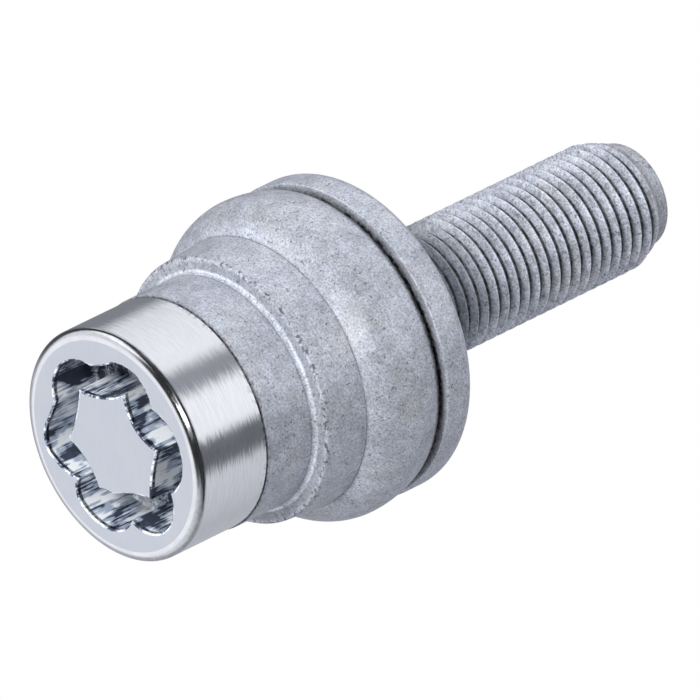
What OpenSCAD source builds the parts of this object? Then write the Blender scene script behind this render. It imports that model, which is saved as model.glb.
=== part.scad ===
// Locking wheel bolt with a loose flat seat ring.
// The bolt stands on its head: the end face is at Z = 0 and the thread points up.

/* [Head] */
// Radius of the chromed part of the head
head_r = 10.7; // [10:0.05:11.5]
// Length of the chromed part of the head
head_h = 8.0; // [7:0.1:12]
// Rounding of the edge round the end face
head_edge_r = 0.6; // [0.2:0.05:1.0]
// Width of the fine turned line where the chrome ends
plating_line_w = 0.2; // [0.1:0.05:0.5]
// Depth of that line below the head
plating_line_d = 0.12; // [0.05:0.01:0.3]

/* [Key groove] */
// Depth of the wavy key groove below the end face
groove_d = 5.0; // [2.5:0.1:6.5]
// Mean thickness of the rim between the groove and the head's side
rim_w = 2.95; // [2.5:0.05:3.2]
// Mean width of the groove round its star-shaped island
groove_w = 2.25; // [2.0:0.05:2.75]

/* [Collar and shoulder] */
// Step from the chromed head out to the grey collar behind it
collar_step = 0.1; // [0.02:0.01:0.3]
// Length of the collar, from the chrome to the shoulder
collar_h = 5.7; // [4:0.1:10]
// Fillet between the collar and the shoulder's face
collar_fillet_r = 0.35; // [0.1:0.05:0.6]
// Step from the collar out to the shoulder's front edge
shoulder_step = 1.45; // [1.2:0.05:2]
// Rounding of the shoulder's front edge
shoulder_edge_r = 0.25; // [0.1:0.05:0.4]
// Length of the shoulder, from its face to the flange
shoulder_h = 4.5; // [3:0.1:8]
// Radius that the shoulder gains over its length
shoulder_taper = 0.3; // [0:0.05:0.5]

/* [Flange] */
// How far the flange's widest place stands out past the shoulder's back edge
flange_step = 2.27; // [1.8:0.01:3]
// Radius of the flatter curve behind the flange's widest place
flange_back_r = 8.1; // [6:0.1:12]
// Length of the flange's domed front, from the shoulder to its widest place
flange_front_h = 3.9; // [3.2:0.1:6]
// Length of the flange behind its widest place
flange_back_h = 3.45; // [2:0.05:4]
// Rounding of the flange's back edge
flange_edge_r = 0.5; // [0.2:0.05:0.9]

/* [Seat ring] */
// How far the seat ring's edge stands inside the flange's widest place
ring_inset = 0.26; // [0:0.02:1]
// Thickness of the seat ring
ring_h = 3.5; // [2.5:0.05:5]
// Rounding of the ring's front edge, on the flange's side
ring_front_edge_r = 0.25; // [0.1:0.05:0.6]
// Rounding of the ring's back edge, on the wheel's side
ring_back_edge_r = 1.5; // [0.5:0.1:2]
// Chamfer at both mouths of the ring's bore
ring_bore_chamfer = 0.4; // [0.2:0.05:0.8]
// Gap between the flange and the loose ring
ring_float = 0.5; // [0.1:0.05:0.9]
// Clearance all round between the ring's bore and the neck
ring_play = 0.22; // [0.1:0.01:0.3]

/* [Shank and thread] */
// How far the plain neck, which the ring turns on, stands inside the thread's crests
neck_step = 0.45; // [0.3:0.01:0.6]
// Length of neck left bare behind the ring
neck_bare_h = 4.4; // [2:0.1:10]
// Radius over the crests of the thread
thread_r = 6.0; // [5:0.05:7]
// Length of the thread at its full radius
thread_h = 25.2; // [15:0.1:40]
// Length of the lead-in taper at the tip
tip_taper_h = 2.9; // [1:0.1:4]
// How far the lead-in taper brings the radius in
tip_taper_step = 1.15; // [0.5:0.05:1.6]
// Rounding between the taper and the flat end
tip_edge_r = 0.55; // [0.2:0.05:0.8]
// Fillet between the neck and the flange's back face
neck_fillet_r = 0.3; // [0.1:0.05:0.35]

/* [Hidden] */
$fn = 96;

// How far a cut runs past the face that it opens
cut_over = 1;

// Radii, each stepped out or in from the one before
collar_r = head_r + collar_step;
shoulder_r = collar_r + shoulder_step;
shoulder_back_r = shoulder_r + shoulder_taper;
flange_r = shoulder_back_r + flange_step;
ring_r = flange_r - ring_inset;
neck_r = thread_r - neck_step;
tip_r = thread_r - tip_taper_step;
ring_bore_r = neck_r + ring_play;
groove_wall_r = head_r - rim_w;
island_r = groove_wall_r - groove_w;

// Heights along the bolt, each stage standing on the one before
shoulder_z = head_h + collar_h;
flange_z = shoulder_z + shoulder_h;
flange_widest_z = flange_z + flange_front_h;
flange_back_z = flange_widest_z + flange_back_h;
ring_z = flange_back_z + ring_float;
ring_back_z = ring_z + ring_h;
thread_z = ring_back_z + neck_bare_h;
taper_z = thread_z + neck_step + thread_h;
tip_z = taper_z + tip_taper_h;
end_z = tip_z + tip_edge_r;

// The key's code. Each row is a point of the outline: its angle round the axis, its radius
// off the mean, and how far the arc to the next point bulges outwards, or inwards below 0
wall_code = [
    [19.6, -0.95, 0.37], [39.9, 0.52, 0.36], [65.6, 0.48, 0.48], [79.6, -1.26, 0.33],
    [103.3, 0.93, 0.33], [120.9, 0.52, -0.06], [140.8, -0.46, 1.88], [195.0, -0.40, -0.12],
    [217.4, 0.33, 0.26], [235.8, 0.71, 0.42], [258.8, -0.64, 2.50], [323.9, -0.59, 2.36]
];
island_code = [
    [37, -0.75, -0.05], [59, -0.35, -0.50], [114, 0.24, -0.28], [171, 0.22, -0.50],
    [232, 0.30, -1.05], [291, 0.12, -0.25], [345, 0.20, -0.28]
];
// Largest turn of one straight step along an arc, in degrees
arc_step = 6;

// Point at a radius and an angle round the bolt's axis
function polar(radius, angle) = [radius * cos(angle), radius * sin(angle)];

// Unit vector that points outwards, square to the line from p to q
function outward(p, q) = [q[1] - p[1], p[0] - q[0]] / norm(q - p);

// Points of the arc from p up to but not including q, whose middle stands bulge off the line
function arc_points(p, q, bulge) =
    let (
        half = norm(q - p) / 2,
        radius = (half * half + bulge * bulge) / (2 * bulge),
        centre = (p + q) / 2 + outward(p, q) * (bulge - radius),
        from = p - centre,
        turn = 4 * atan(bulge / half),
        steps = ceil(abs(turn) / arc_step)
    )
    [for (i = [0 : steps - 1]) centre + turned(from, turn * i / steps)];

// Vector v turned by an angle round the axis
function turned(v, angle) =
    [v[0] * cos(angle) - v[1] * sin(angle), v[0] * sin(angle) + v[1] * cos(angle)];

// Closed outline through the points of a code, arc by arc
function coded_outline(mean_r, code) =
    let (
        count = len(code),
        points = [for (row = code) polar(mean_r + row[1], row[0])]
    )
    [for (i = [0 : count - 1]) each arc_points(points[i], points[(i + 1) % count], code[i][2])];

// Wavy key groove, cut into the end face round the island
module key_groove() {
    difference() {
        translate([0, 0, -cut_over])
            linear_extrude(height = groove_d + cut_over)
                polygon(coded_outline(groove_wall_r, wall_code));
        translate([0, 0, -2 * cut_over])
            linear_extrude(height = groove_d + 3 * cut_over)
                polygon(coded_outline(island_r, island_code));
    }
}

// Half section of a disc from z0 to z1, its lower and upper outer edges rounded
module rounded_disc(radius, z0, z1, low_r, high_r) {
    translate([0, z0])
        square([radius - low_r, low_r]);
    translate([0, z0 + low_r])
        square([radius, z1 - z0 - low_r - high_r]);
    translate([0, z1 - high_r])
        square([radius - high_r, high_r]);
    translate([radius - low_r, z0 + low_r])
        circle(r = low_r);
    translate([radius - high_r, z1 - high_r])
        circle(r = high_r);
}

// Fillet in the corner at [radius, z], below a face for side = -1 and above one for side = 1
module corner_fillet(radius, z, fillet_r, side) {
    difference() {
        translate([radius - fillet_r, z - (side < 0 ? fillet_r : 0)])
            square([2 * fillet_r, fillet_r]);
        translate([radius + fillet_r, z + side * fillet_r])
            circle(r = fillet_r);
    }
}

// Half section of the chromed head and the grey collar, with the fine line between them
module head_section() {
    difference() {
        union() {
            square([head_r - head_edge_r, head_edge_r]);
            translate([0, head_edge_r])
                square([head_r, head_h - head_edge_r]);
            translate([head_r - head_edge_r, head_edge_r])
                circle(r = head_edge_r);
            translate([0, head_h])
                square([collar_r, collar_h]);
        }
        translate([head_r - plating_line_d, head_h - plating_line_w / 2])
            square([cut_over, plating_line_w]);
    }
    corner_fillet(collar_r, shoulder_z, collar_fillet_r, -1);
}

// Half section of the shoulder, which widens a little towards the flange and runs on into it
module shoulder_section() {
    taper = shoulder_taper / (shoulder_h - shoulder_edge_r);
    translate([0, shoulder_z])
        square([shoulder_r - shoulder_edge_r, shoulder_h]);
    polygon([
        [0, shoulder_z + shoulder_edge_r], [shoulder_r, shoulder_z + shoulder_edge_r],
        [shoulder_back_r + taper * flange_front_h, flange_widest_z], [0, flange_widest_z]
    ]);
    translate([shoulder_r - shoulder_edge_r, shoulder_z + shoulder_edge_r])
        circle(r = shoulder_edge_r);
}

// Half section of the bell-shaped flange: a front domed out of the shoulder's back edge to
// the widest place, and a flatter back
module flange_section() {
    front_r = (flange_front_h * flange_front_h + flange_step * flange_step) / (2 * flange_step);
    intersection() {
        translate([flange_r - front_r, flange_widest_z])
            circle(r = front_r);
        translate([0, flange_z - shoulder_edge_r])
            square([flange_r + cut_over, flange_front_h + shoulder_edge_r]);
    }
    intersection() {
        translate([flange_r - flange_back_r, flange_widest_z])
            circle(r = flange_back_r);
        rounded_back();
    }
}

// Block that ends the flange at its flat back face, with its edge rounded into the back's curve
module rounded_back() {
    centre_h = flange_back_h - flange_edge_r;
    centre_away = flange_back_r - flange_edge_r;
    centre_r = flange_r - flange_back_r + sqrt(centre_away * centre_away - centre_h * centre_h);
    translate([0, flange_widest_z])
        square([centre_r, flange_back_h]);
    translate([0, flange_widest_z])
        square([flange_r + cut_over, flange_back_r * centre_h / centre_away]);
    translate([centre_r, flange_widest_z + centre_h])
        circle(r = flange_edge_r);
}

// Half section of the neck, the thread's blank and the tip
module shank_section() {
    translate([0, flange_back_z - cut_over])
        square([neck_r, thread_z - flange_back_z + 2 * cut_over]);
    corner_fillet(neck_r, flange_back_z, neck_fillet_r, 1);
    polygon([
        [0, thread_z], [neck_r, thread_z], [thread_r, thread_z + neck_step],
        [thread_r, taper_z], [tip_r, tip_z], [0, tip_z]
    ]);
    translate([0, tip_z - cut_over])
        square([tip_r - tip_edge_r, end_z - tip_z + cut_over]);
    intersection() {
        translate([tip_r - tip_edge_r, tip_z])
            circle(r = tip_edge_r);
        translate([0, tip_z])
            square([tip_r, tip_edge_r]);
    }
}

// The bolt, forged and turned as one piece
module bolt() {
    color([0.70, 0.71, 0.73])
        difference() {
            rotate_extrude() {
                head_section();
                shoulder_section();
                flange_section();
                shank_section();
            }
            key_groove();
        }
}

// Bore of the seat ring, chamfered at both mouths
module ring_bore_section() {
    polygon([
        [0, -cut_over], [ring_bore_r + ring_bore_chamfer + cut_over, -cut_over],
        [ring_bore_r, ring_bore_chamfer], [ring_bore_r, ring_h - ring_bore_chamfer],
        [ring_bore_r + ring_bore_chamfer + cut_over, ring_h + cut_over], [0, ring_h + cut_over]
    ]);
}

// Loose ring between the flange and the wheel, captive between the flange and the thread
module seat_ring() {
    color([0.72, 0.73, 0.75])
        translate([0, 0, ring_z])
            rotate_extrude()
                difference() {
                    rounded_disc(ring_r, 0, ring_h, ring_front_edge_r, ring_back_edge_r);
                    ring_bore_section();
                }
}

bolt();
seat_ring();
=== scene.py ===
import math

import bpy
import numpy as np
from mathutils import Matrix, Vector
from mathutils.geometry import tessellate_polygon


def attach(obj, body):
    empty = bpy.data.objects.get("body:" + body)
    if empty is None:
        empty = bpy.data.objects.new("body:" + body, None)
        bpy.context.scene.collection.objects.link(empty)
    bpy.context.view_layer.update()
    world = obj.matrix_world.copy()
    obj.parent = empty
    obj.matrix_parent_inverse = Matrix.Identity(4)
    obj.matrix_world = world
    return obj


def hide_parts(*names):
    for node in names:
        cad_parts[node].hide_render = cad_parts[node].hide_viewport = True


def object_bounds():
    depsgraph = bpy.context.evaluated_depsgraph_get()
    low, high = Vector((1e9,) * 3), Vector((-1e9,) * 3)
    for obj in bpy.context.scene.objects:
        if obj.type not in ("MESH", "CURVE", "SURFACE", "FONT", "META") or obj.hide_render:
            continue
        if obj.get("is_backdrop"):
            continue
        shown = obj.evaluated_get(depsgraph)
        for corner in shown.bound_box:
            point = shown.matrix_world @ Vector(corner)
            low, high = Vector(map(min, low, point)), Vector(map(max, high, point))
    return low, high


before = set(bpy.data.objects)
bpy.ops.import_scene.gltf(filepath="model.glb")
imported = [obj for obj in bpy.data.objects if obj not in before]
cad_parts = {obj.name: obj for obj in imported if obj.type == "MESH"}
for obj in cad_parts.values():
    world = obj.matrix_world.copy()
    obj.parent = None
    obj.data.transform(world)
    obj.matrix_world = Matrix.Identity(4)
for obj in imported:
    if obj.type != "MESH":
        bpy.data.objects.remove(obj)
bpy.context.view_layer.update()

# Camera: the photograph looks up at the bolt's end face from the head's side, so far off that
# nothing tapers. The bolt stands on that face here, so the camera looks up from below, turned
# on its side.
AXIS_TILT = math.radians(26.05)          # how steeply the bolt's axis rises across the picture
LOOK_UP = math.radians(37.95)            # the camera looks this far above the level
CAMERA_TARGET = Vector((1.475, 0.0, 27.70)) / 1000
CAMERA_AWAY = 2.5
PIXELS_PER_MM = 11.6
PICTURE_PIXELS = 700
SENSOR = 36.0

forward = Vector((0, math.cos(LOOK_UP), math.sin(LOOK_UP)))
along_axis = Vector((0, -math.sin(LOOK_UP), math.cos(LOOK_UP)))
across_axis = Vector((1, 0, 0))
right = along_axis * math.cos(AXIS_TILT) + across_axis * math.sin(AXIS_TILT)
up = along_axis * math.sin(AXIS_TILT) - across_axis * math.cos(AXIS_TILT)

camera_data = bpy.data.cameras.new("camera")
camera_data.sensor_width = SENSOR
camera_data.lens = PIXELS_PER_MM * CAMERA_AWAY * 1000 * SENSOR / PICTURE_PIXELS
camera_data.clip_start = 0.5
camera_data.clip_end = 8.0
camera = bpy.data.objects.new("camera", camera_data)
bpy.context.scene.collection.objects.link(camera)
turn = Matrix((right, up, -forward)).transposed().to_4x4()
camera.matrix_world = Matrix.Translation(CAMERA_TARGET - forward * CAMERA_AWAY) @ turn
bpy.context.scene.camera = camera

# End face and key groove: the bolt is one steel forging, so it is one closed surface here,
# gathered in millimetres from the middle of the end face outwards and up to the tip. The face
# is ground and plated, and a milling head has cut the wavy groove round a star-shaped island.
COLUMNS = 192
GROOVE_DEPTH = 5.0
WALL_MEAN, ISLAND_MEAN = 7.75, 5.5
RIM_ROUND, FOOT_ROUND, ROUND_STEPS = 0.16, 0.35, 5
WALL_POINT_GAP = 0.16
SHARP_ANGLE = 38
# The outlines are chains of arcs: an angle, a radius off the mean, and the next arc's bulge
WALL_CODE = [
    (19.6, -0.95, 0.37), (39.9, 0.52, 0.36), (65.6, 0.48, 0.48), (79.6, -1.26, 0.33),
    (103.3, 0.93, 0.33), (120.9, 0.52, -0.06), (140.8, -0.46, 1.88), (195.0, -0.40, -0.12),
    (217.4, 0.33, 0.26), (235.8, 0.71, 0.42), (258.8, -0.64, 2.50), (323.9, -0.59, 2.36),
]
ISLAND_CODE = [
    (37, -0.75, -0.05), (59, -0.35, -0.50), (114, 0.24, -0.28), (171, 0.22, -0.50),
    (232, 0.30, -1.05), (291, 0.12, -0.25), (345, 0.20, -0.28),
]


class Skin:
    """One closed surface in mm. wear marks rubbed edges. painted_shading is painted shade where it
    is above 0, in corners, creases, gaps and the seat ring's shadow, and a painted highlight below 0."""

    def __init__(self):
        self.points, self.faces, self.finishes = [], [], []
        self.wear, self.painted_shading = [], []

    def outline(self, points, wear=0.0, painted_shading=0.0):
        first = len(self.points)
        self.points += [tuple(p) for p in points]
        self.wear += [wear] * len(points)
        self.painted_shading += [painted_shading] * len(points)
        return list(range(first, len(self.points)))

    def circle(self, radius, z, wear=0.0, painted_shading=0.0):
        turns = [2 * math.pi * k / COLUMNS for k in range(COLUMNS)]
        return self.outline([(radius * math.cos(t), radius * math.sin(t), z) for t in turns],
                            wear, painted_shading)

    def face(self, corners, finish):
        self.faces.append(tuple(corners))
        self.finishes.append(finish)

    def band(self, low, high, finish):
        """Quads from one closed outline to the next, of as many points."""
        for k in range(len(low)):
            n = (k + 1) % len(low)
            self.face((low[k], low[n], high[n], high[k]), finish)

    def flat(self, inner, outer, finish):
        """Fills a level area that faces down, between two outlines, or inside one."""
        loops = [outer] + ([inner] if inner else [])
        index = [i for loop in loops for i in loop]
        corners = [[Vector(self.points[i]) for i in loop] for loop in loops]
        for a, b, c in tessellate_polygon(corners):
            pa, pb, pc = (Vector(self.points[index[i]]) for i in (a, b, c))
            rises = (pb - pa).cross(pc - pa).z > 0
            self.face((index[a], index[c], index[b]) if rises else (index[a], index[b], index[c]),
                      finish)

    def build(self, name):
        mesh = bpy.data.meshes.new(name)
        mesh.from_pydata([[c / 1000 for c in p] for p in self.points], [], self.faces)
        for key, values in (("wear", self.wear), ("painted_shading", self.painted_shading)):
            mesh.attributes.new(key, "FLOAT", "POINT").data.foreach_set("value", values)
        slots = list(dict.fromkeys(self.finishes))
        for finish in slots:
            mesh.materials.append(finish)
        mesh.polygons.foreach_set("material_index", [slots.index(f) for f in self.finishes])
        mesh.shade_smooth()
        mesh.set_sharp_from_angle(angle=math.radians(SHARP_ANGLE))
        mesh.update()
        piece = bpy.data.objects.new(name, mesh)
        bpy.context.scene.collection.objects.link(piece)
        weighted = piece.modifiers.new("even shading", "WEIGHTED_NORMAL")
        weighted.keep_sharp = True
        return piece


def outward(p, q):
    """Unit step square to the line from p to q, away from the axis; points are complex."""
    return (q - p) / abs(q - p) * -1j


def arcs_of(mean, code):
    """The chain of arcs as (start, end, bulge)."""
    at = [(mean + off) * complex(math.cos(math.radians(a)), math.sin(math.radians(a)))
          for a, off, _ in code]
    return [(p, q, row[2]) for p, q, row in zip(at, at[1:] + at[:1], code)]


def arc_of(p, q, bulge):
    """Centre of an arc, and the angle that it turns through."""
    half = abs(q - p) / 2
    radius = (half ** 2 + bulge ** 2) / (2 * bulge)
    return (p + q) / 2 + outward(p, q) * (bulge - radius), 4 * math.atan(bulge / half)


def grown_outline(chain, grow, z, steps):
    """Points of the chain at a height, moved out by grow, as many for each value of grow."""
    corners = []
    for (p0, q0, bulge0), (p, q, bulge) in zip(chain[-1:] + chain, chain):
        normals = []
        for centre, turn in (arc_of(p0, q0, bulge0), arc_of(p, q, bulge)):
            normals.append((p - centre) / abs(p - centre) * math.copysign(1, turn))
        both = normals[0] + normals[1]
        corners.append(p + both * grow * 2 / abs(both) ** 2)
    points = []
    for i, (p, q, bulge) in enumerate(chain):
        middle = (p + q) / 2 + outward(p, q) * (bulge + grow)
        p, q = corners[i], corners[(i + 1) % len(chain)]
        bulge = ((middle - (p + q) / 2) / outward(p, q)).real
        centre, turn = arc_of(p, q, bulge)
        for k in range(steps[i]):
            part = turn * k / steps[i]
            w = centre + (p - centre) * complex(math.cos(part), math.sin(part))
            points.append((w.real, w.imag, z))
    return points


def node(tree, kind, inputs=None, **settings):
    """Adds a node. inputs gives values, or the sockets that feed them, by name or number."""
    made = tree.nodes.new("ShaderNode" + kind)
    for name, value in settings.items():
        setattr(made, name, value)
    for key, value in (inputs or {}).items():
        if isinstance(value, bpy.types.NodeSocket):
            tree.links.new(value, made.inputs[key])
        else:
            made.inputs[key].default_value = value
    return made


def maths(tree, operation, *values, clamp=False):
    return node(tree, "Math", dict(enumerate(values)), operation=operation,
                use_clamp=clamp).outputs[0]


def ramp(tree, value, start, end, low=0.0, high=1.0):
    """Goes smoothly from low to high as the value goes from start to end."""
    return node(tree, "MapRange", {"Value": value, "From Min": start, "From Max": end,
                                   "To Min": low, "To Max": high},
                interpolation_type="SMOOTHSTEP").outputs[0]


def blend_colours(tree, factor, first, second):
    return node(tree, "Mix", {0: factor, 6: first, 7: second}, data_type="RGBA").outputs[2]


def shaded(tree, colour, level):
    """The colour, made lighter or darker by a level about 1."""
    return node(tree, "Mix", {0: 1.0, 6: colour, 7: node(tree, "CombineColor", {
        0: level, 1: level, 2: level}).outputs[0]}, data_type="RGBA", blend_type="MULTIPLY").outputs[2]


def srgb(red, green, blue):
    """A colour as a picture shows it, 0 to 255, in the renderer's own numbers."""
    def level(c):
        c /= 255
        return c / 12.92 if c <= 0.04045 else ((c + 0.055) / 1.055) ** 2.4
    return (level(red), level(green), level(blue), 1.0)


def new_group(name, inputs, outputs):
    """A node group with the named sockets; inputs are (name, kind, value)."""
    tree = bpy.data.node_groups.new(name, "ShaderNodeTree")
    for title, kind, value in inputs:
        socket = tree.interface.new_socket(title, in_out="INPUT", socket_type="NodeSocket" + kind)
        if value is not None:
            socket.default_value = value
    for title, kind in outputs:
        tree.interface.new_socket(title, in_out="OUTPUT", socket_type="NodeSocket" + kind)
    return tree, tree.nodes.new("NodeGroupInput").outputs, tree.nodes.new("NodeGroupOutput").inputs


def place(tree, group, inputs):
    """Places a node group in a material with its own values, and gives its outputs."""
    return node(tree, "Group", inputs, node_tree=group).outputs


def new_material(name):
    made = bpy.data.materials.new(name)
    made.use_nodes = True
    tree = made.node_tree
    tree.nodes.clear()
    shader = tree.nodes.new("ShaderNodeBsdfPrincipled")
    output = tree.nodes.new("ShaderNodeOutputMaterial")
    tree.links.new(shader.outputs[0], output.inputs[0])
    return made, tree, shader


def bump(tree, shader, height, strength, depth_mm, normal=None):
    inputs = {"Strength": strength, "Distance": depth_mm / 1000, "Height": height}
    if normal:
        inputs["Normal"] = normal
    tree.links.new(node(tree, "Bump", inputs).outputs[0], shader.inputs["Normal"])


# Streaks: noise drawn out into marks, as long in mm along the piece's axes as the three Lengths
# say, and turned about the bolt's axis where they don't run along one
streaks_group, taken, given = new_group(
    "streaks", [("Length X", "Float", 1.0), ("Length Y", "Float", 1.0), ("Length Z", "Float", 1.0),
                ("Turn", "Float", 0.0), ("Detail", "Float", 2.0)], [("Value", "Float")])
where = node(streaks_group, "TexCoord").outputs["Object"]
turned_round = node(streaks_group, "VectorRotate", {"Vector": where, "Angle": taken["Turn"]},
                    rotation_type="Z_AXIS").outputs[0]
in_metres = node(streaks_group, "SeparateXYZ", {0: turned_round}).outputs
in_marks = [maths(streaks_group, "DIVIDE", maths(streaks_group, "MULTIPLY", in_metres[i], 1000.0),
                  taken["Length " + "XYZ"[i]]) for i in range(3)]
marks = node(streaks_group, "TexNoise", {
    "Vector": node(streaks_group, "CombineXYZ", dict(enumerate(in_marks))).outputs[0],
    "Scale": 1.0, "Detail": taken["Detail"], "Roughness": 0.6}).outputs[0]
streaks_group.links.new(marks, given["Value"])


def streaks(tree, x, y, z, turn=0.0, detail=2.0):
    """Places the streaks in a material; where x, y and z are the same they are blotches."""
    return place(tree, streaks_group, {"Length X": x, "Length Y": y, "Length Z": z,
                                       "Turn": turn, "Detail": detail})["Value"]


# Painted shade and wear: shade is painted in a dark colour where the skin's painted shading is
# high, and rubbed edges break through to dark steel in chips
shade_and_wear_group, taken, given = new_group(
    "painted shade and wear", [("Colour", "Color", None), ("Shade colour", "Color", srgb(26, 27, 33)),
                      ("Shade", "Float", 1.0), ("Chips", "Float", 0.7),
                      ("Chip size", "Float", 0.4)], [("Colour", "Color"), ("Shade", "Float")])
painted_level = node(shade_and_wear_group, "Attribute", attribute_name="painted_shading").outputs["Fac"]
worn = node(shade_and_wear_group, "Attribute", attribute_name="wear").outputs["Fac"]
where = node(shade_and_wear_group, "TexCoord").outputs["Object"]
uneven = node(shade_and_wear_group, "TexNoise", {"Vector": where, "Scale": 2400.0, "Detail": 2.0}).outputs[0]
painted_shade = maths(shade_and_wear_group, "MULTIPLY", maths(shade_and_wear_group, "MULTIPLY", painted_level, taken["Shade"]),
               ramp(shade_and_wear_group, uneven, 0.35, 0.65, 0.7, 1.0), clamp=True)
with_shade = blend_colours(shade_and_wear_group, painted_shade, taken["Colour"], taken["Shade colour"])
chip_place = node(shade_and_wear_group, "VectorMath", {0: where, "Scale": maths(
    shade_and_wear_group, "DIVIDE", 1000.0, taken["Chip size"])}, operation="SCALE").outputs[0]
chips = node(shade_and_wear_group, "TexNoise", {"Vector": chip_place, "Scale": 1.0, "Detail": 1.0}).outputs[0]
chipped = maths(shade_and_wear_group, "MULTIPLY", maths(shade_and_wear_group, "MULTIPLY", worn, taken["Chips"]),
                ramp(shade_and_wear_group, chips, 0.56, 0.64))
with_chips = blend_colours(shade_and_wear_group, chipped, with_shade, srgb(84, 85, 94))
shade_and_wear_group.links.new(with_chips, given["Colour"])
shade_and_wear_group.links.new(painted_shade, given["Shade"])

# The ground face is satin, with faint straight marks one way
end_face, tree, shader = new_material("ground_end_face")
brush = streaks(tree, 7.0, 0.13, 9.0, turn=math.radians(-38.5))
cloudy = streaks(tree, 3.0, 3.0, 3.0)
body = shaded(tree, srgb(208, 213, 222), ramp(tree, brush, 0.3, 0.7, 0.96, 1.03))
body = blend_colours(tree, ramp(tree, cloudy, 0.4, 0.7, 0.0, 0.25), body, srgb(216, 216, 218))
tree.links.new(body, shader.inputs["Base Color"])
shader.inputs["Metallic"].default_value = 0.85
tree.links.new(ramp(tree, brush, 0.3, 0.7, 0.34, 0.44), shader.inputs["Roughness"])
bump(tree, shader, brush, 0.2, 0.01)

# The groove's walls are chromed over milling marks. Their bright and dark streaks are painted
# reflections in the colour, and painted shade darkens the walls in patches under the rim and at the
# foot
groove_chrome, tree, shader = new_material("chromed_groove")
milled = streaks(tree, 0.22, 0.22, 5.0)
patchy = streaks(tree, 1.5, 1.5, 3.0)
broken = streaks(tree, 1.6, 1.6, 9.0)
both = maths(tree, "MULTIPLY_ADD", milled, 0.35, maths(tree, "MULTIPLY", patchy, 0.65))
# painted reflections: near-black and near-white patches along the milling marks
body = blend_colours(tree, ramp(tree, both, 0.45, 0.49), srgb(62, 69, 84), srgb(172, 184, 204))
body = blend_colours(tree, ramp(tree, both, 0.52, 0.55), body, srgb(248, 252, 255))
# painted shade, near black, where the skin's painted shading is high
body = place(tree, shade_and_wear_group, {"Colour": body, "Shade colour": srgb(16, 16, 20),
                                "Shade": ramp(tree, broken, 0.38, 0.44), "Chips": 0.0})["Colour"]
tree.links.new(body, shader.inputs["Base Color"])
shader.inputs["Metallic"].default_value = 0.35
tree.links.new(ramp(tree, patchy, 0.35, 0.65, 0.1, 0.25), shader.inputs["Roughness"])
bump(tree, shader, milled, 0.5, 0.05)

island_arcs, wall_arcs = arcs_of(ISLAND_MEAN, ISLAND_CODE), arcs_of(WALL_MEAN, WALL_CODE)
bolt_skin = Skin()


def groove_wall(chain, side):
    """Outlines down one wall: rounded rim, straight wall, and a hollow at its foot. side is 1
    where the groove lies outside the outline and -1 where it lies inside."""
    steps = [max(3, round(math.hypot(abs(q - p), 2 * bulge) / WALL_POINT_GAP))
             for p, q, bulge in chain]
    turns = [math.pi / 2 * k / ROUND_STEPS for k in range(ROUND_STEPS + 1)]
    # how far out, how deep, and the painted shading, which paints shade just under the rim and at the
    # foot
    rows = [(-side * RIM_ROUND * (1 - math.sin(t)), RIM_ROUND * (1 - math.cos(t)),
             1.0 if t == turns[-1] else 0.0) for t in turns]
    rows += [(0.0, 0.28, 1.0), (0.0, 0.42, 1.0), (0.0, 0.52, 0.0), (0.0, 1.4, 0.0),
             (0.0, 2.6, 0.0), (0.0, 3.8, 0.2)]
    rows += [(side * FOOT_ROUND * (1 - math.cos(t)), GROOVE_DEPTH - FOOT_ROUND * (1 - math.sin(t)),
              0.5) for t in turns]
    return [bolt_skin.outline(grown_outline(chain, grow, z, steps), 0.0, painted_shading)
            for grow, z, painted_shading in rows]


island_rows = groove_wall(island_arcs, 1)
wall_rows = groove_wall(wall_arcs, -1)[::-1]
bolt_skin.flat(None, island_rows[0], end_face)
for low, high in zip(island_rows, island_rows[1:]):
    bolt_skin.band(low, high, groove_chrome)
bolt_skin.flat(island_rows[-1], wall_rows[0], groove_chrome)
for low, high in zip(wall_rows, wall_rows[1:]):
    bolt_skin.band(low, high, groove_chrome)

# Chromed head: turned round, with a rolled edge towards the end face, and bright chrome over
# fine turning marks. The chrome ends at a thin turned line in front of the grey collar.
HEAD_R, HEAD_H, HEAD_EDGE_IN, HEAD_EDGE_UP = 10.7, 8.0, 1.0, 0.6
LINE_DEPTH, LINE_W, LINE_CHAMFER = 0.12, 0.2, 0.04


def arc_row(r, z, radius, angle, wear=0.0, painted_shading=0.0):
    """Row (radius, height, wear, painted shading) on an arc about (r, z), at an angle in degrees from
    +r.
    """
    turn = math.radians(angle)
    return r + radius * math.cos(turn), z + radius * math.sin(turn), wear, painted_shading


def arc_rows(r, z, radius, start, end, steps, wear=0.0, painted_shading=0.0):
    """Rows along an arc, from one angle to another."""
    return [arc_row(r, z, radius, start + (end - start) * k / steps, wear, painted_shading)
            for k in range(steps + 1)]


def turned(skin, rows, finish, last=None):
    """Bands along a turned profile; starts from the outline last, if one is given."""
    rings = [last] if last else []
    for r, z, wear, painted_shading in rows:
        rings.append(skin.circle(r, z, wear, painted_shading))
    for low, high in zip(rings, rings[1:]):
        skin.band(low, high, finish)
    return rings[-1]


# Fine marks round the head: each turns the light a little aside, so that reflections along the
# side end in a fringe, as on polished turned steel
side_chrome, tree, shader = new_material("chromed_side")
lathe = streaks(tree, 1.6, 1.6, 0.13, detail=1.0)
cloudy = streaks(tree, 2.4, 2.4, 2.4)
body = shaded(tree, srgb(246, 247, 251), ramp(tree, lathe, 0.35, 0.65, 0.93, 1.0))
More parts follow.
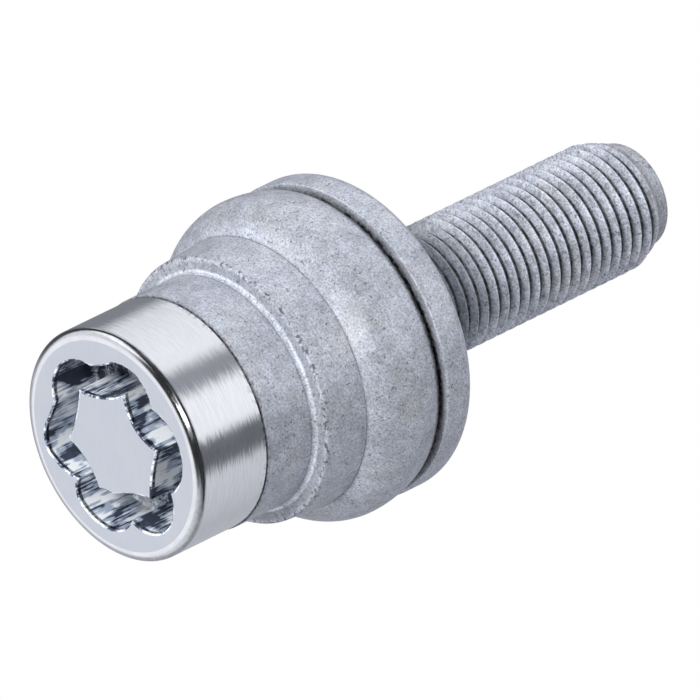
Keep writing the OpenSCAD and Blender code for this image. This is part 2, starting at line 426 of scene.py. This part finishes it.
# painted shade from the skin darkens the rolled edge and the turned line's hollow
body = place(tree, shade_and_wear_group, {"Colour": body, "Shade": 0.9, "Chips": 0.8})["Colour"]
tree.links.new(body, shader.inputs["Base Color"])
shader.inputs["Metallic"].default_value = 1.0
tree.links.new(ramp(tree, cloudy, 0.35, 0.65, 0.14, 0.18), shader.inputs["Roughness"])
normal = node(tree, "NewGeometry").outputs["Normal"]
round_way = node(tree, "VectorMath", {0: (0, 0, 1), 1: normal}, operation="CROSS_PRODUCT").outputs[0]
aside = node(tree, "VectorMath", {0: round_way, "Scale": ramp(tree, lathe, 0.3, 0.7, -0.018, 0.018)},
             operation="SCALE").outputs[0]
bent = node(tree, "VectorMath", {0: normal, 1: aside}).outputs[0]
bent = node(tree, "VectorMath", {0: bent}, operation="NORMALIZE").outputs[0]
bump(tree, shader, lathe, 0.12, 0.01, bent)

# the rolled edge is wider on the face than on the side; its painted shade is a painted dark reflection
edge_rows = [(HEAD_R - HEAD_EDGE_IN * (1 - math.cos(math.radians(angle))),
              HEAD_EDGE_UP * (1 + math.sin(math.radians(angle))), 0.0, painted_shading)
             for angle, painted_shading in ((-80, 0.0), (-70, 0.0), (-60, 0.3), (-50, 0.3), (-40, 0.4),
                                  (-30, 0.5), (-20, 0.5), (-10, 0.5), (0, 0.4))]
face_circle = bolt_skin.circle(HEAD_R - HEAD_EDGE_IN, 0.0, 0.0)
bolt_skin.flat(wall_rows[-1], face_circle, end_face)
side = turned(bolt_skin, edge_rows
              + [(HEAD_R, z, 0.0, 0.0) for z in (HEAD_EDGE_UP + 0.1, 2.0, 4.0, 6.0, 7.3)]
              # the turned line: chips on its edge, painted shade in its hollow
              + [(HEAD_R, HEAD_H - LINE_W / 2 - LINE_CHAMFER, 0.5, 0.0),
                 (HEAD_R - LINE_CHAMFER, HEAD_H - LINE_W / 2, 1.0, 0.8),
                 (HEAD_R - LINE_DEPTH, HEAD_H - LINE_W / 2, 0.0, 1.0)], side_chrome, face_circle)

# Collar, shoulder and flange: turned on the same forging, and dipped in a grey zinc-flake coat
# that is baked on. The flange bells out of the shoulder, and the seat ring turns on the neck.
COLLAR_R, COLLAR_FILLET = 10.8, 0.35
SHOULDER_Z, SHOULDER_R, SHOULDER_EDGE, SHOULDER_BACK_R = 13.7, 12.25, 0.25, 12.55
FLANGE_Z, FLANGE_WIDEST_Z, FLANGE_BACK_Z = 18.2, 22.1, 25.55
FLANGE_R, FLANGE_EDGE, FLANGE_BACK_R = 14.82, 0.5, 8.1
FLANGE_FRONT_R = ((FLANGE_WIDEST_Z - FLANGE_Z) ** 2 + (FLANGE_R - SHOULDER_BACK_R) ** 2) / (
    2 * (FLANGE_R - SHOULDER_BACK_R))
NECK_R, NECK_FILLET = 5.55, 0.3


def zinc_coat(name, warm, chips):
    """Satin zinc-flake coat: fine flakes, dark specks, patches that are cloudy or warm, and the
    skin's painted shade and painted highlight.
    """
    made, tree, shader = new_material(name)
    flakes = streaks(tree, 0.17, 0.17, 0.17)
    pits = streaks(tree, 0.3, 0.3, 0.3, turn=2.0, detail=1.0)
    grain = streaks(tree, 1.2, 1.2, 1.2, detail=3.0)
    cloudy = streaks(tree, 4.0, 4.0, 4.0, turn=0.7)
    body = blend_colours(tree, ramp(tree, cloudy, 0.42, 0.68, 0.0, 0.3), srgb(189, 194, 206), warm)
    body = shaded(tree, body, ramp(tree, cloudy, 0.30, 0.42, 0.86, 1.0))
    body = shaded(tree, body, ramp(tree, flakes, 0.35, 0.65, 0.72, 1.21))
    body = shaded(tree, body, ramp(tree, pits, 0.64, 0.71, 1.0, 0.5))
    body = shaded(tree, body, ramp(tree, grain, 0.35, 0.65, 0.88, 1.08))
    # painted shading below nothing is a painted highlight, which makes the coat lighter
    painted_shading = node(tree, "Attribute", attribute_name="painted_shading").outputs["Fac"]
    body = shaded(tree, body, ramp(tree, painted_shading, -1.0, 0.0, 1.35, 1.0))
    painted_shade = place(tree, shade_and_wear_group, {"Colour": body, "Shade": 1.0, "Chips": chips})
    tree.links.new(painted_shade["Colour"], shader.inputs["Base Color"])
    # where shade is painted the coat is also less metal and rougher, so that it shows darker
    metal = maths(tree, "MULTIPLY", maths(tree, "SUBTRACT", 1.0, painted_shade["Shade"]), 0.55)
    tree.links.new(metal, shader.inputs["Metallic"])
    matte = maths(tree, "MULTIPLY_ADD", painted_shade["Shade"], 0.4, ramp(tree, flakes, 0.3, 0.7, 0.36, 0.50))
    tree.links.new(matte, shader.inputs["Roughness"])
    bump(tree, shader, flakes, 0.35, 0.03)
    return made


coat = zinc_coat("zinc_flake_coat", srgb(200, 196, 196), 0.8)
collar_top = SHOULDER_Z - COLLAR_FILLET
dome_centre = FLANGE_R - FLANGE_FRONT_R
dome_start = -math.degrees(math.asin((FLANGE_WIDEST_Z - FLANGE_Z) / FLANGE_FRONT_R))
back_centre = FLANGE_R - FLANGE_BACK_R
edge_sin = (FLANGE_BACK_Z - FLANGE_EDGE - FLANGE_WIDEST_Z) / (FLANGE_BACK_R - FLANGE_EDGE)
edge_turn = math.degrees(math.asin(edge_sin))
edge_centre = back_centre + (FLANGE_BACK_R - FLANGE_EDGE) * math.cos(math.radians(edge_turn))
# Painted shading in these rows: painted shade behind the turned line, in the creases, on the flange's
# back and in its gap to the seat ring, and on the neck; a painted highlight along the collar's fillet
side = turned(
    bolt_skin,
    [(HEAD_R - LINE_DEPTH, HEAD_H + LINE_W / 2, 0.0, 1.0),
     (COLLAR_R - 0.05, HEAD_H + LINE_W / 2, 0.6, 0.7),
     (COLLAR_R, HEAD_H + LINE_W / 2 + 0.05, 0.9, 0.3),
     (COLLAR_R, HEAD_H + 0.35, 0.0, 0.0), (COLLAR_R, 10.5, 0.0, 0.0),
     (COLLAR_R, collar_top - 0.3, 0.0, 0.0), (COLLAR_R, collar_top - 0.12, 0.0, 0.5)]
    + arc_rows(COLLAR_R + COLLAR_FILLET, collar_top, COLLAR_FILLET, 170, 110, 4, 0.0, -0.9)
    + [(COLLAR_R + COLLAR_FILLET + 0.05, SHOULDER_Z, 0.0, 0.3),
       (SHOULDER_R - SHOULDER_EDGE - 0.25, SHOULDER_Z, 0.0, 0.3)]
    + arc_rows(SHOULDER_R - SHOULDER_EDGE, SHOULDER_Z + SHOULDER_EDGE, SHOULDER_EDGE, -90, 0, 6, 1.0)
    + [(SHOULDER_R + 0.02, SHOULDER_Z + SHOULDER_EDGE + 0.3, 0.0, 0.0),
       (SHOULDER_BACK_R - 0.06, FLANGE_Z - 0.9, 0.0, 0.0),
       (SHOULDER_BACK_R - 0.01, FLANGE_Z - 0.16, 0.0, 0.0),
       (SHOULDER_BACK_R, FLANGE_Z - 0.03, 0.0, 0.8),
       arc_row(dome_centre, FLANGE_WIDEST_Z, FLANGE_FRONT_R, dome_start + 0.6, 0.0, 0.3)]
    + arc_rows(dome_centre, FLANGE_WIDEST_Z, FLANGE_FRONT_R, dome_start + 2.4, 0, 16)
    + arc_rows(back_centre, FLANGE_WIDEST_Z, FLANGE_BACK_R, 0, 19, 4)[1:]
    + [arc_row(back_centre, FLANGE_WIDEST_Z, FLANGE_BACK_R, 21.5, 0.0, 0.8)]
    + arc_rows(edge_centre, FLANGE_BACK_Z - FLANGE_EDGE, FLANGE_EDGE, edge_turn, 90, 6, 0.0, 1.1)
    + [(10.5, FLANGE_BACK_Z, 0.0, 0.8), (7.5, FLANGE_BACK_Z, 0.0, 0.4)]
    + arc_rows(NECK_R + NECK_FILLET, FLANGE_BACK_Z + NECK_FILLET, NECK_FILLET, -90, -180, 5,
               0.0, 0.8)
    + [(NECK_R, z, 0.0, 0.5) for z in (27.8, 29.8, 31.8)],
    coat, side)

# Thread and tip: an M12x1.25 right-hand thread, rolled on the shank and coated with it. It rises
# out of the neck over its first two turns and runs out on the tip's taper, so one ribbon of the
# thread's profile winds up the shank here, and closes the bolt's skin.
PITCH = 1.25
THREAD_Z, TAPER_Z, TIP_Z, END_Z = 33.95, 59.60, 62.50, 63.05
CREST_R, ROOT_R, TIP_R, TIP_EDGE = 6.0, 5.233, 4.85, 0.55
LAST_DEPTH, ROOT_FADE_Z, FADE_H = 0.22, 61.35, 0.5
THREAD_TURNS = 21.8
START_COLUMN = 168
RISE_TURNS = 0.75
SHADED_TURNS, RING_SHADOW_LEVEL = 4.0, 0.5
# mm along the bolt from the root's middle, share of the thread's height, wear, and painted shading:
# painted shade in the roots, a painted highlight on the crests
THREAD_PROFILE = [
    (0.0, 0.0, 0.0, 0.8), (0.104, 0.0, 0.0, 0.8), (0.172, 0.155, 0.0, 1.0),
    (0.202, 0.223, 0.0, 0.9), (0.262, 0.358, 0.5, 0.0), (0.522, 0.945, 0.5, -0.4),
    (0.566, 1.0, 0.3, -0.9), (0.684, 1.0, 0.3, -0.9), (0.728, 0.945, 0.5, -0.4),
    (1.078, 0.155, 0.0, 0.5), (1.146, 0.0, 0.0, 0.7),
]


def ease(t):
    t = min(max(t, 0.0), 1.0)
    return t * t * (3 - 2 * t)


def shank_limit(z):
    """Largest radius of the shank at a height, with the lead-in taper."""
    if z <= TAPER_Z:
        return CREST_R
    return CREST_R + (TIP_R - CREST_R) * (z - TAPER_Z) / (TIP_Z - TAPER_Z)


def thread_point(step, rise, height, wear, painted_shading):
    """A point of the ribbon in mm, with its wear and painted shading."""
    turns = step / COLUMNS
    z = THREAD_Z + PITCH * turns + rise
    limit = shank_limit(z)
    # the root stays at the neck's radius for a turn, so that the thread swells out of the neck
    sunk = ease((z - THREAD_Z) / PITCH - 1)
    root = min(NECK_R + (ROOT_R - NECK_R) * sunk, limit - LAST_DEPTH)
    root += (limit - root) * ease((z - ROOT_FADE_Z) / FADE_H)
    crest = root + (CREST_R - root) * ease(turns / RISE_TURNS)
    radius = min(root + (crest - root) * height, limit)
    angle = 2 * math.pi * (step + START_COLUMN) / COLUMNS
    depth = ease((limit - root) / (2 * LAST_DEPTH)) * ease(turns / RISE_TURNS)
    painted_shading *= depth
    # the first turns, in the ring's shadow, get a painted shadow
    if turns < SHADED_TURNS:
        painted_shading = max(painted_shading, RING_SHADOW_LEVEL * (1 - ease(turns / SHADED_TURNS)))
    return (radius * math.cos(angle), radius * math.sin(angle), z), wear * depth, painted_shading


# the neck's painted shade runs on up to the thread
neck_top = turned(bolt_skin, [(NECK_R, THREAD_Z - 0.25, 0.0, 0.5)], coat, side)
ribbon_steps = round(THREAD_TURNS * COLUMNS)
ribbon = []
for step in range(ribbon_steps + COLUMNS + 1):
    profile = THREAD_PROFILE if step <= ribbon_steps else THREAD_PROFILE[:1]
    column = []
    for rise, height, wear, painted_shading in profile:
        point, worn, painted_level = thread_point(step, rise, height, wear, painted_shading)
        column += bolt_skin.outline([point], worn, painted_level)
    ribbon.append(column)
for step in range(ribbon_steps):
    here = ribbon[step] + ribbon[step + COLUMNS][:1]
    after = ribbon[step + 1] + ribbon[step + 1 + COLUMNS][:1]
    for j in range(len(THREAD_PROFILE)):
        bolt_skin.face((here[j], after[j], after[j + 1], here[j + 1]), coat)
# the neck meets the first turn, which leaves it at one column
for step in range(COLUMNS):
    a, b = (START_COLUMN + step) % COLUMNS, (START_COLUMN + step + 1) % COLUMNS
    if step < COLUMNS - 1:
        bolt_skin.face((neck_top[a], neck_top[b], ribbon[step + 1][0], ribbon[step][0]), coat)
    else:
        bolt_skin.face([neck_top[a], neck_top[b]] + ribbon[0]
                       + [ribbon[COLUMNS][0], ribbon[step][0]], coat)
# and the last turn meets the end of the taper
# the taper's end and the tip are chipped, and a little darker
taper_end = bolt_skin.circle(TIP_R, TIP_Z, 0.6, 0.1)
for step in range(ribbon_steps, ribbon_steps + COLUMNS):
    a, b = (START_COLUMN + step) % COLUMNS, (START_COLUMN + step + 1) % COLUMNS
    if step > ribbon_steps:
        bolt_skin.face((ribbon[step][0], ribbon[step + 1][0], taper_end[b], taper_end[a]), coat)
    else:
        last_column = ribbon[ribbon_steps] + ribbon[ribbon_steps + COLUMNS][:1]
        bolt_skin.face([last_column[0], ribbon[step + 1][0], taper_end[b], taper_end[a]]
                       + last_column[:0:-1], coat)
tip = turned(bolt_skin, arc_rows(TIP_R - TIP_EDGE, TIP_Z, TIP_EDGE, 0, 90, 6, 0.8, 0.2)[1:]
             + [(2.6, END_Z, 0.0, 0.1), (1.0, END_Z, 0.0, 0.1)], coat, taper_end)
centre = bolt_skin.outline([(0.0, 0.0, END_Z)])[0]
for k in range(COLUMNS):
    bolt_skin.face((tip[k], tip[(k + 1) % COLUMNS], centre), coat)

bolt = bolt_skin.build("bolt_forging")
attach(bolt, "bolt")
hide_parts("bolt")

# Seat ring: a loose flat-seat washer, turned from steel and zinc-flake coated by itself. The
# rolled thread keeps it on the neck, where it turns freely and takes the wheel's clamping load.
RING_Z, RING_H, RING_R, RING_BORE = 26.05, 3.5, 14.56, 5.77
RING_FRONT_EDGE, RING_BACK_EDGE, BORE_CHAMFER = 0.25, 1.5, 0.4

ring_coat = zinc_coat("zinc_flake_coat_ring", srgb(198, 194, 198), 0.3)
ring_skin = Skin()
ring_back = RING_Z + RING_H
# painted shade on the ring's front face, which the flange shades, and in its bore
ring_rows = (
    [(RING_BORE, RING_Z + BORE_CHAMFER, 0.0, 0.5), (RING_BORE + BORE_CHAMFER, RING_Z, 0.0, 0.8),
     (9.0, RING_Z, 0.0, 1.1), (13.6, RING_Z, 0.0, 1.1), (14.05, RING_Z, 0.0, 0.5)]
    + arc_rows(RING_R - RING_FRONT_EDGE, RING_Z + RING_FRONT_EDGE, RING_FRONT_EDGE, -90, 0, 6)
    + [(RING_R, RING_Z + 1.0, 0.0, 0.0)]
    + arc_rows(RING_R - RING_BACK_EDGE, ring_back - RING_BACK_EDGE, RING_BACK_EDGE, 0, 90, 14)
    + [(11.0, ring_back, 0.0, 0.0), (8.0, ring_back, 0.0, 0.0),
       (RING_BORE + BORE_CHAMFER, ring_back, 0.0, 0.3),
       (RING_BORE, ring_back - BORE_CHAMFER, 0.0, 0.6)])
rings = [ring_skin.circle(*row) for row in ring_rows]
for low, high in zip(rings, rings[1:] + rings[:1]):
    ring_skin.band(low, high, ring_coat)
seat_ring = ring_skin.build("loose_seat_ring")
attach(seat_ring, "seat_ring")
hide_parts("seat_ring")

# Floor: a sheet of pale paper that the bolt stands on. The camera looks up through it, so it
# shows only from above, and it neither shades the bolt nor shows in its metal.
FLOOR_HALF, FLOOR_BELOW = 2, 0.00002

paper, tree, shader = new_material("pale_paper")
fibres = streaks(tree, 6.0, 6.0, 6.0)
tree.links.new(shaded(tree, srgb(238, 238, 240), ramp(tree, fibres, 0.3, 0.7, 0.99, 1.01)),
               shader.inputs["Base Color"])
shader.inputs["Roughness"].default_value = 0.9
clear = node(tree, "BsdfTransparent").outputs[0]
under = node(tree, "NewGeometry").outputs["Backfacing"]
mixed = node(tree, "MixShader", {0: under, 1: shader.outputs[0], 2: clear}).outputs[0]
tree.links.new(mixed, tree.nodes["Material Output"].inputs[0])
floor_mesh = bpy.data.meshes.new("floor")
floor_mesh.from_pydata([(x * FLOOR_HALF, y * FLOOR_HALF, 0)
                        for x, y in ((-1, -1), (1, -1), (1, 1), (-1, 1))], [], [(0, 1, 2, 3)])
floor_mesh.materials.append(paper)
floor = bpy.data.objects.new("floor", floor_mesh)
bpy.context.scene.collection.objects.link(floor)
floor.location.z = -FLOOR_BELOW
floor.visible_diffuse = floor.visible_glossy = floor.visible_transmission = False
floor.visible_shadow = False
floor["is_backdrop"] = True

# Lamps: a tall strip below the head that shows in the metal, and four that don't and only lighten
# the coat: a small one near the camera, and broad ones below the head, at the left and above.
LIGHT_CENTRE = Vector((0, 0, 0.03))
LAMP_AWAY = 0.8


def area_lamp(name, towards, size, power, in_metal=False):
    """A soft lamp that looks at the bolt. size is its width and its height."""
    data = bpy.data.lights.new(name, "AREA")
    data.shape = "RECTANGLE"
    data.size, data.size_y = size
    data.energy = power
    lamp = bpy.data.objects.new(name, data)
    bpy.context.scene.collection.objects.link(lamp)
    direction = Vector(towards).normalized()
    lamp.location = LIGHT_CENTRE + direction * LAMP_AWAY
    lamp.rotation_euler = direction.to_track_quat("Z", "Y").to_euler()
    lamp.visible_glossy = in_metal


area_lamp("strip", (0.04, -0.42, -0.90), (0.12, 0.7), 1.2, in_metal=True)
area_lamp("key", (-0.37, -0.57, -0.73), (0.16, 0.16), 6.1)
area_lamp("front", (-0.20, -0.30, -0.93), (0.4, 0.4), 1.2)
area_lamp("left", (-0.80, -0.38, -0.45), (0.5, 0.5), 2.2)
area_lamp("overhead", (-0.13, -0.16, 0.98), (0.5, 0.5), 3.4)

# Light tent: white cloth with dark openings, far round the bolt, which shows only in the metal. It
# hangs in four tiers of panels. The top one gives the chromed side its bands, and the others are
# dark on the camera's side, for the head's black edge, and bright behind, where the end face looks.
TENT_R, TENT_TOP, TENT_ROWS, TENT_COLUMNS = 3.0, 89, 23, 48
TENT_DARK, SLIT_LEVEL, SLIT_Z = 0.03, 2.1, -0.76
# from the bottom up: the heights, on a ball of radius 1, between which each tier begins, and the
# light of its panels round the bolt, by degrees from the camera's side
TENT_TIERS = [
    (-0.92, -0.84, [
        (-180, 0.95), (-124, 0.95), (-112, 1.7), (-90, 1.5), (-78, 0.12), (-70, 0.04), (74, 0.03),
        (94, 0.5), (150, 0.9), (180, 0.95)]),
    (-0.70, -0.60, [
        (-180, 0.95), (-124, 0.95), (-112, 1.7), (-92, 1.5), (-82, 0.15), (-76, 0.09), (-29, 0.09),
        (-23, 0.25), (-14, 0.25), (-8, 0.09), (72, 0.08), (94, 0.5), (150, 0.9), (180, 0.95)]),
    (-0.42, -0.30, [
        (-180, 0.6), (-166, 0.6), (-156, 0.12), (-120, 0.05), (-70, 0.05), (-63, 0.3), (-52, 0.3),
        (-45, 0.05), (66, 0.04), (78, 0.04), (96, 0.45), (180, 0.6)]),
    (0.10, 0.22, [
        (-180, 0.25), (-132, 0.25), (-112, 0.80), (-80, 0.90), (-44, 0.95), (-32, 0.32),
        (-18, 0.32), (-7, 0.98), (28, 0.96), (37, 0.15), (58, 0.15), (70, 0.66), (100, 0.59),
        (128, 0.50), (180, 0.52)]),
]

cloth, tree, shader = new_material("tent_cloth")
tree.nodes.remove(shader)
where = node(tree, "TexCoord").outputs["Object"]
unit = node(tree, "VectorMath", {0: where}, operation="NORMALIZE").outputs[0]
parts = node(tree, "SeparateXYZ", {0: unit}).outputs
# from 0 to 1 for a whole turn round the bolt, with the camera's side at 0.5
around = maths(tree, "MULTIPLY_ADD", maths(tree, "ARCTAN2", parts[0], maths(
    tree, "MULTIPLY", parts[1], -1.0)), 0.5 / math.pi, 0.5)


def panels(stops):
    """The light of one tier, all round the bolt."""
    made = node(tree, "ValToRGB", {0: around})
    elements = made.color_ramp.elements
    for i, (angle, level) in enumerate(stops):
        position = (angle + 180) / 360
        element = elements[i] if i < 2 else elements.new(position)
        element.position = position
        # the dim panels are a little blue
        pale = min(level, 1.0)
        element.color = (level * (0.84 + 0.12 * pale), level * (0.87 + 0.10 * pale), level, 1.0)
    return made.outputs[0]


light = (TENT_DARK, TENT_DARK, TENT_DARK, 1.0)
for start, end, stops in TENT_TIERS:
    light = blend_colours(tree, ramp(tree, parts[2], start, end), light, panels(stops))
# a bright slit in the dark side lies below the camera
off_slit = maths(tree, "ABSOLUTE", maths(tree, "SUBTRACT", parts[2], SLIT_Z))
slit = maths(tree, "MULTIPLY", ramp(tree, off_slit, 0.05, 0.13, 1.0, 0.0),
             maths(tree, "MULTIPLY", ramp(tree, around, 0.44, 0.48),
                   ramp(tree, around, 0.52, 0.55, 1.0, 0.0)))
light = blend_colours(tree, slit, light, (SLIT_LEVEL, SLIT_LEVEL, SLIT_LEVEL, 1.0))
glow = node(tree, "Emission", {"Color": light}).outputs[0]
tree.links.new(glow, tree.nodes["Material Output"].inputs[0])

tent_heights = np.radians(np.linspace(-TENT_TOP, TENT_TOP, TENT_ROWS + 1))
tent_points = [(TENT_R * math.cos(a) * math.cos(e), TENT_R * math.sin(a) * math.cos(e),
                TENT_R * math.sin(e)) for e in tent_heights
               for a in np.linspace(0, 2 * math.pi, TENT_COLUMNS, endpoint=False)]
tent_faces = [(r * TENT_COLUMNS + k, r * TENT_COLUMNS + (k + 1) % TENT_COLUMNS,
               (r + 1) * TENT_COLUMNS + (k + 1) % TENT_COLUMNS, (r + 1) * TENT_COLUMNS + k)
              for r in range(TENT_ROWS) for k in range(TENT_COLUMNS)]
tent_mesh = bpy.data.meshes.new("light_tent")
tent_mesh.from_pydata(tent_points, [], tent_faces)
tent_mesh.materials.append(cloth)
tent = bpy.data.objects.new("light_tent", tent_mesh)
bpy.context.scene.collection.objects.link(tent)
tent.visible_camera = tent.visible_diffuse = tent.visible_transmission = False
tent.visible_shadow = tent.visible_volume_scatter = False
tent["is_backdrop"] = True

# White surround: the photograph's empty white background. It is white to the eye and in the metal,
# and a plain soft light on everything else.
SOFT_LIGHT = 0.48

world = bpy.data.worlds.new("white_surround")
bpy.context.scene.world = world
world.use_nodes = True
tree = world.node_tree
tree.nodes.clear()
path = node(tree, "LightPath").outputs
seen = maths(tree, "ADD", maths(tree, "ADD", path["Is Camera Ray"], path["Is Glossy Ray"]),
             path["Is Transmission Ray"], clamp=True)
level = node(tree, "MapRange", {"Value": seen, "To Min": SOFT_LIGHT, "To Max": 1.0}).outputs[0]
glow = node(tree, "Background", {"Color": (1, 1, 1, 1), "Strength": level}).outputs[0]
tree.links.new(glow, node(tree, "OutputWorld").inputs[0])

bpy.context.scene.view_settings.view_transform = "Standard"

low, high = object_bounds()
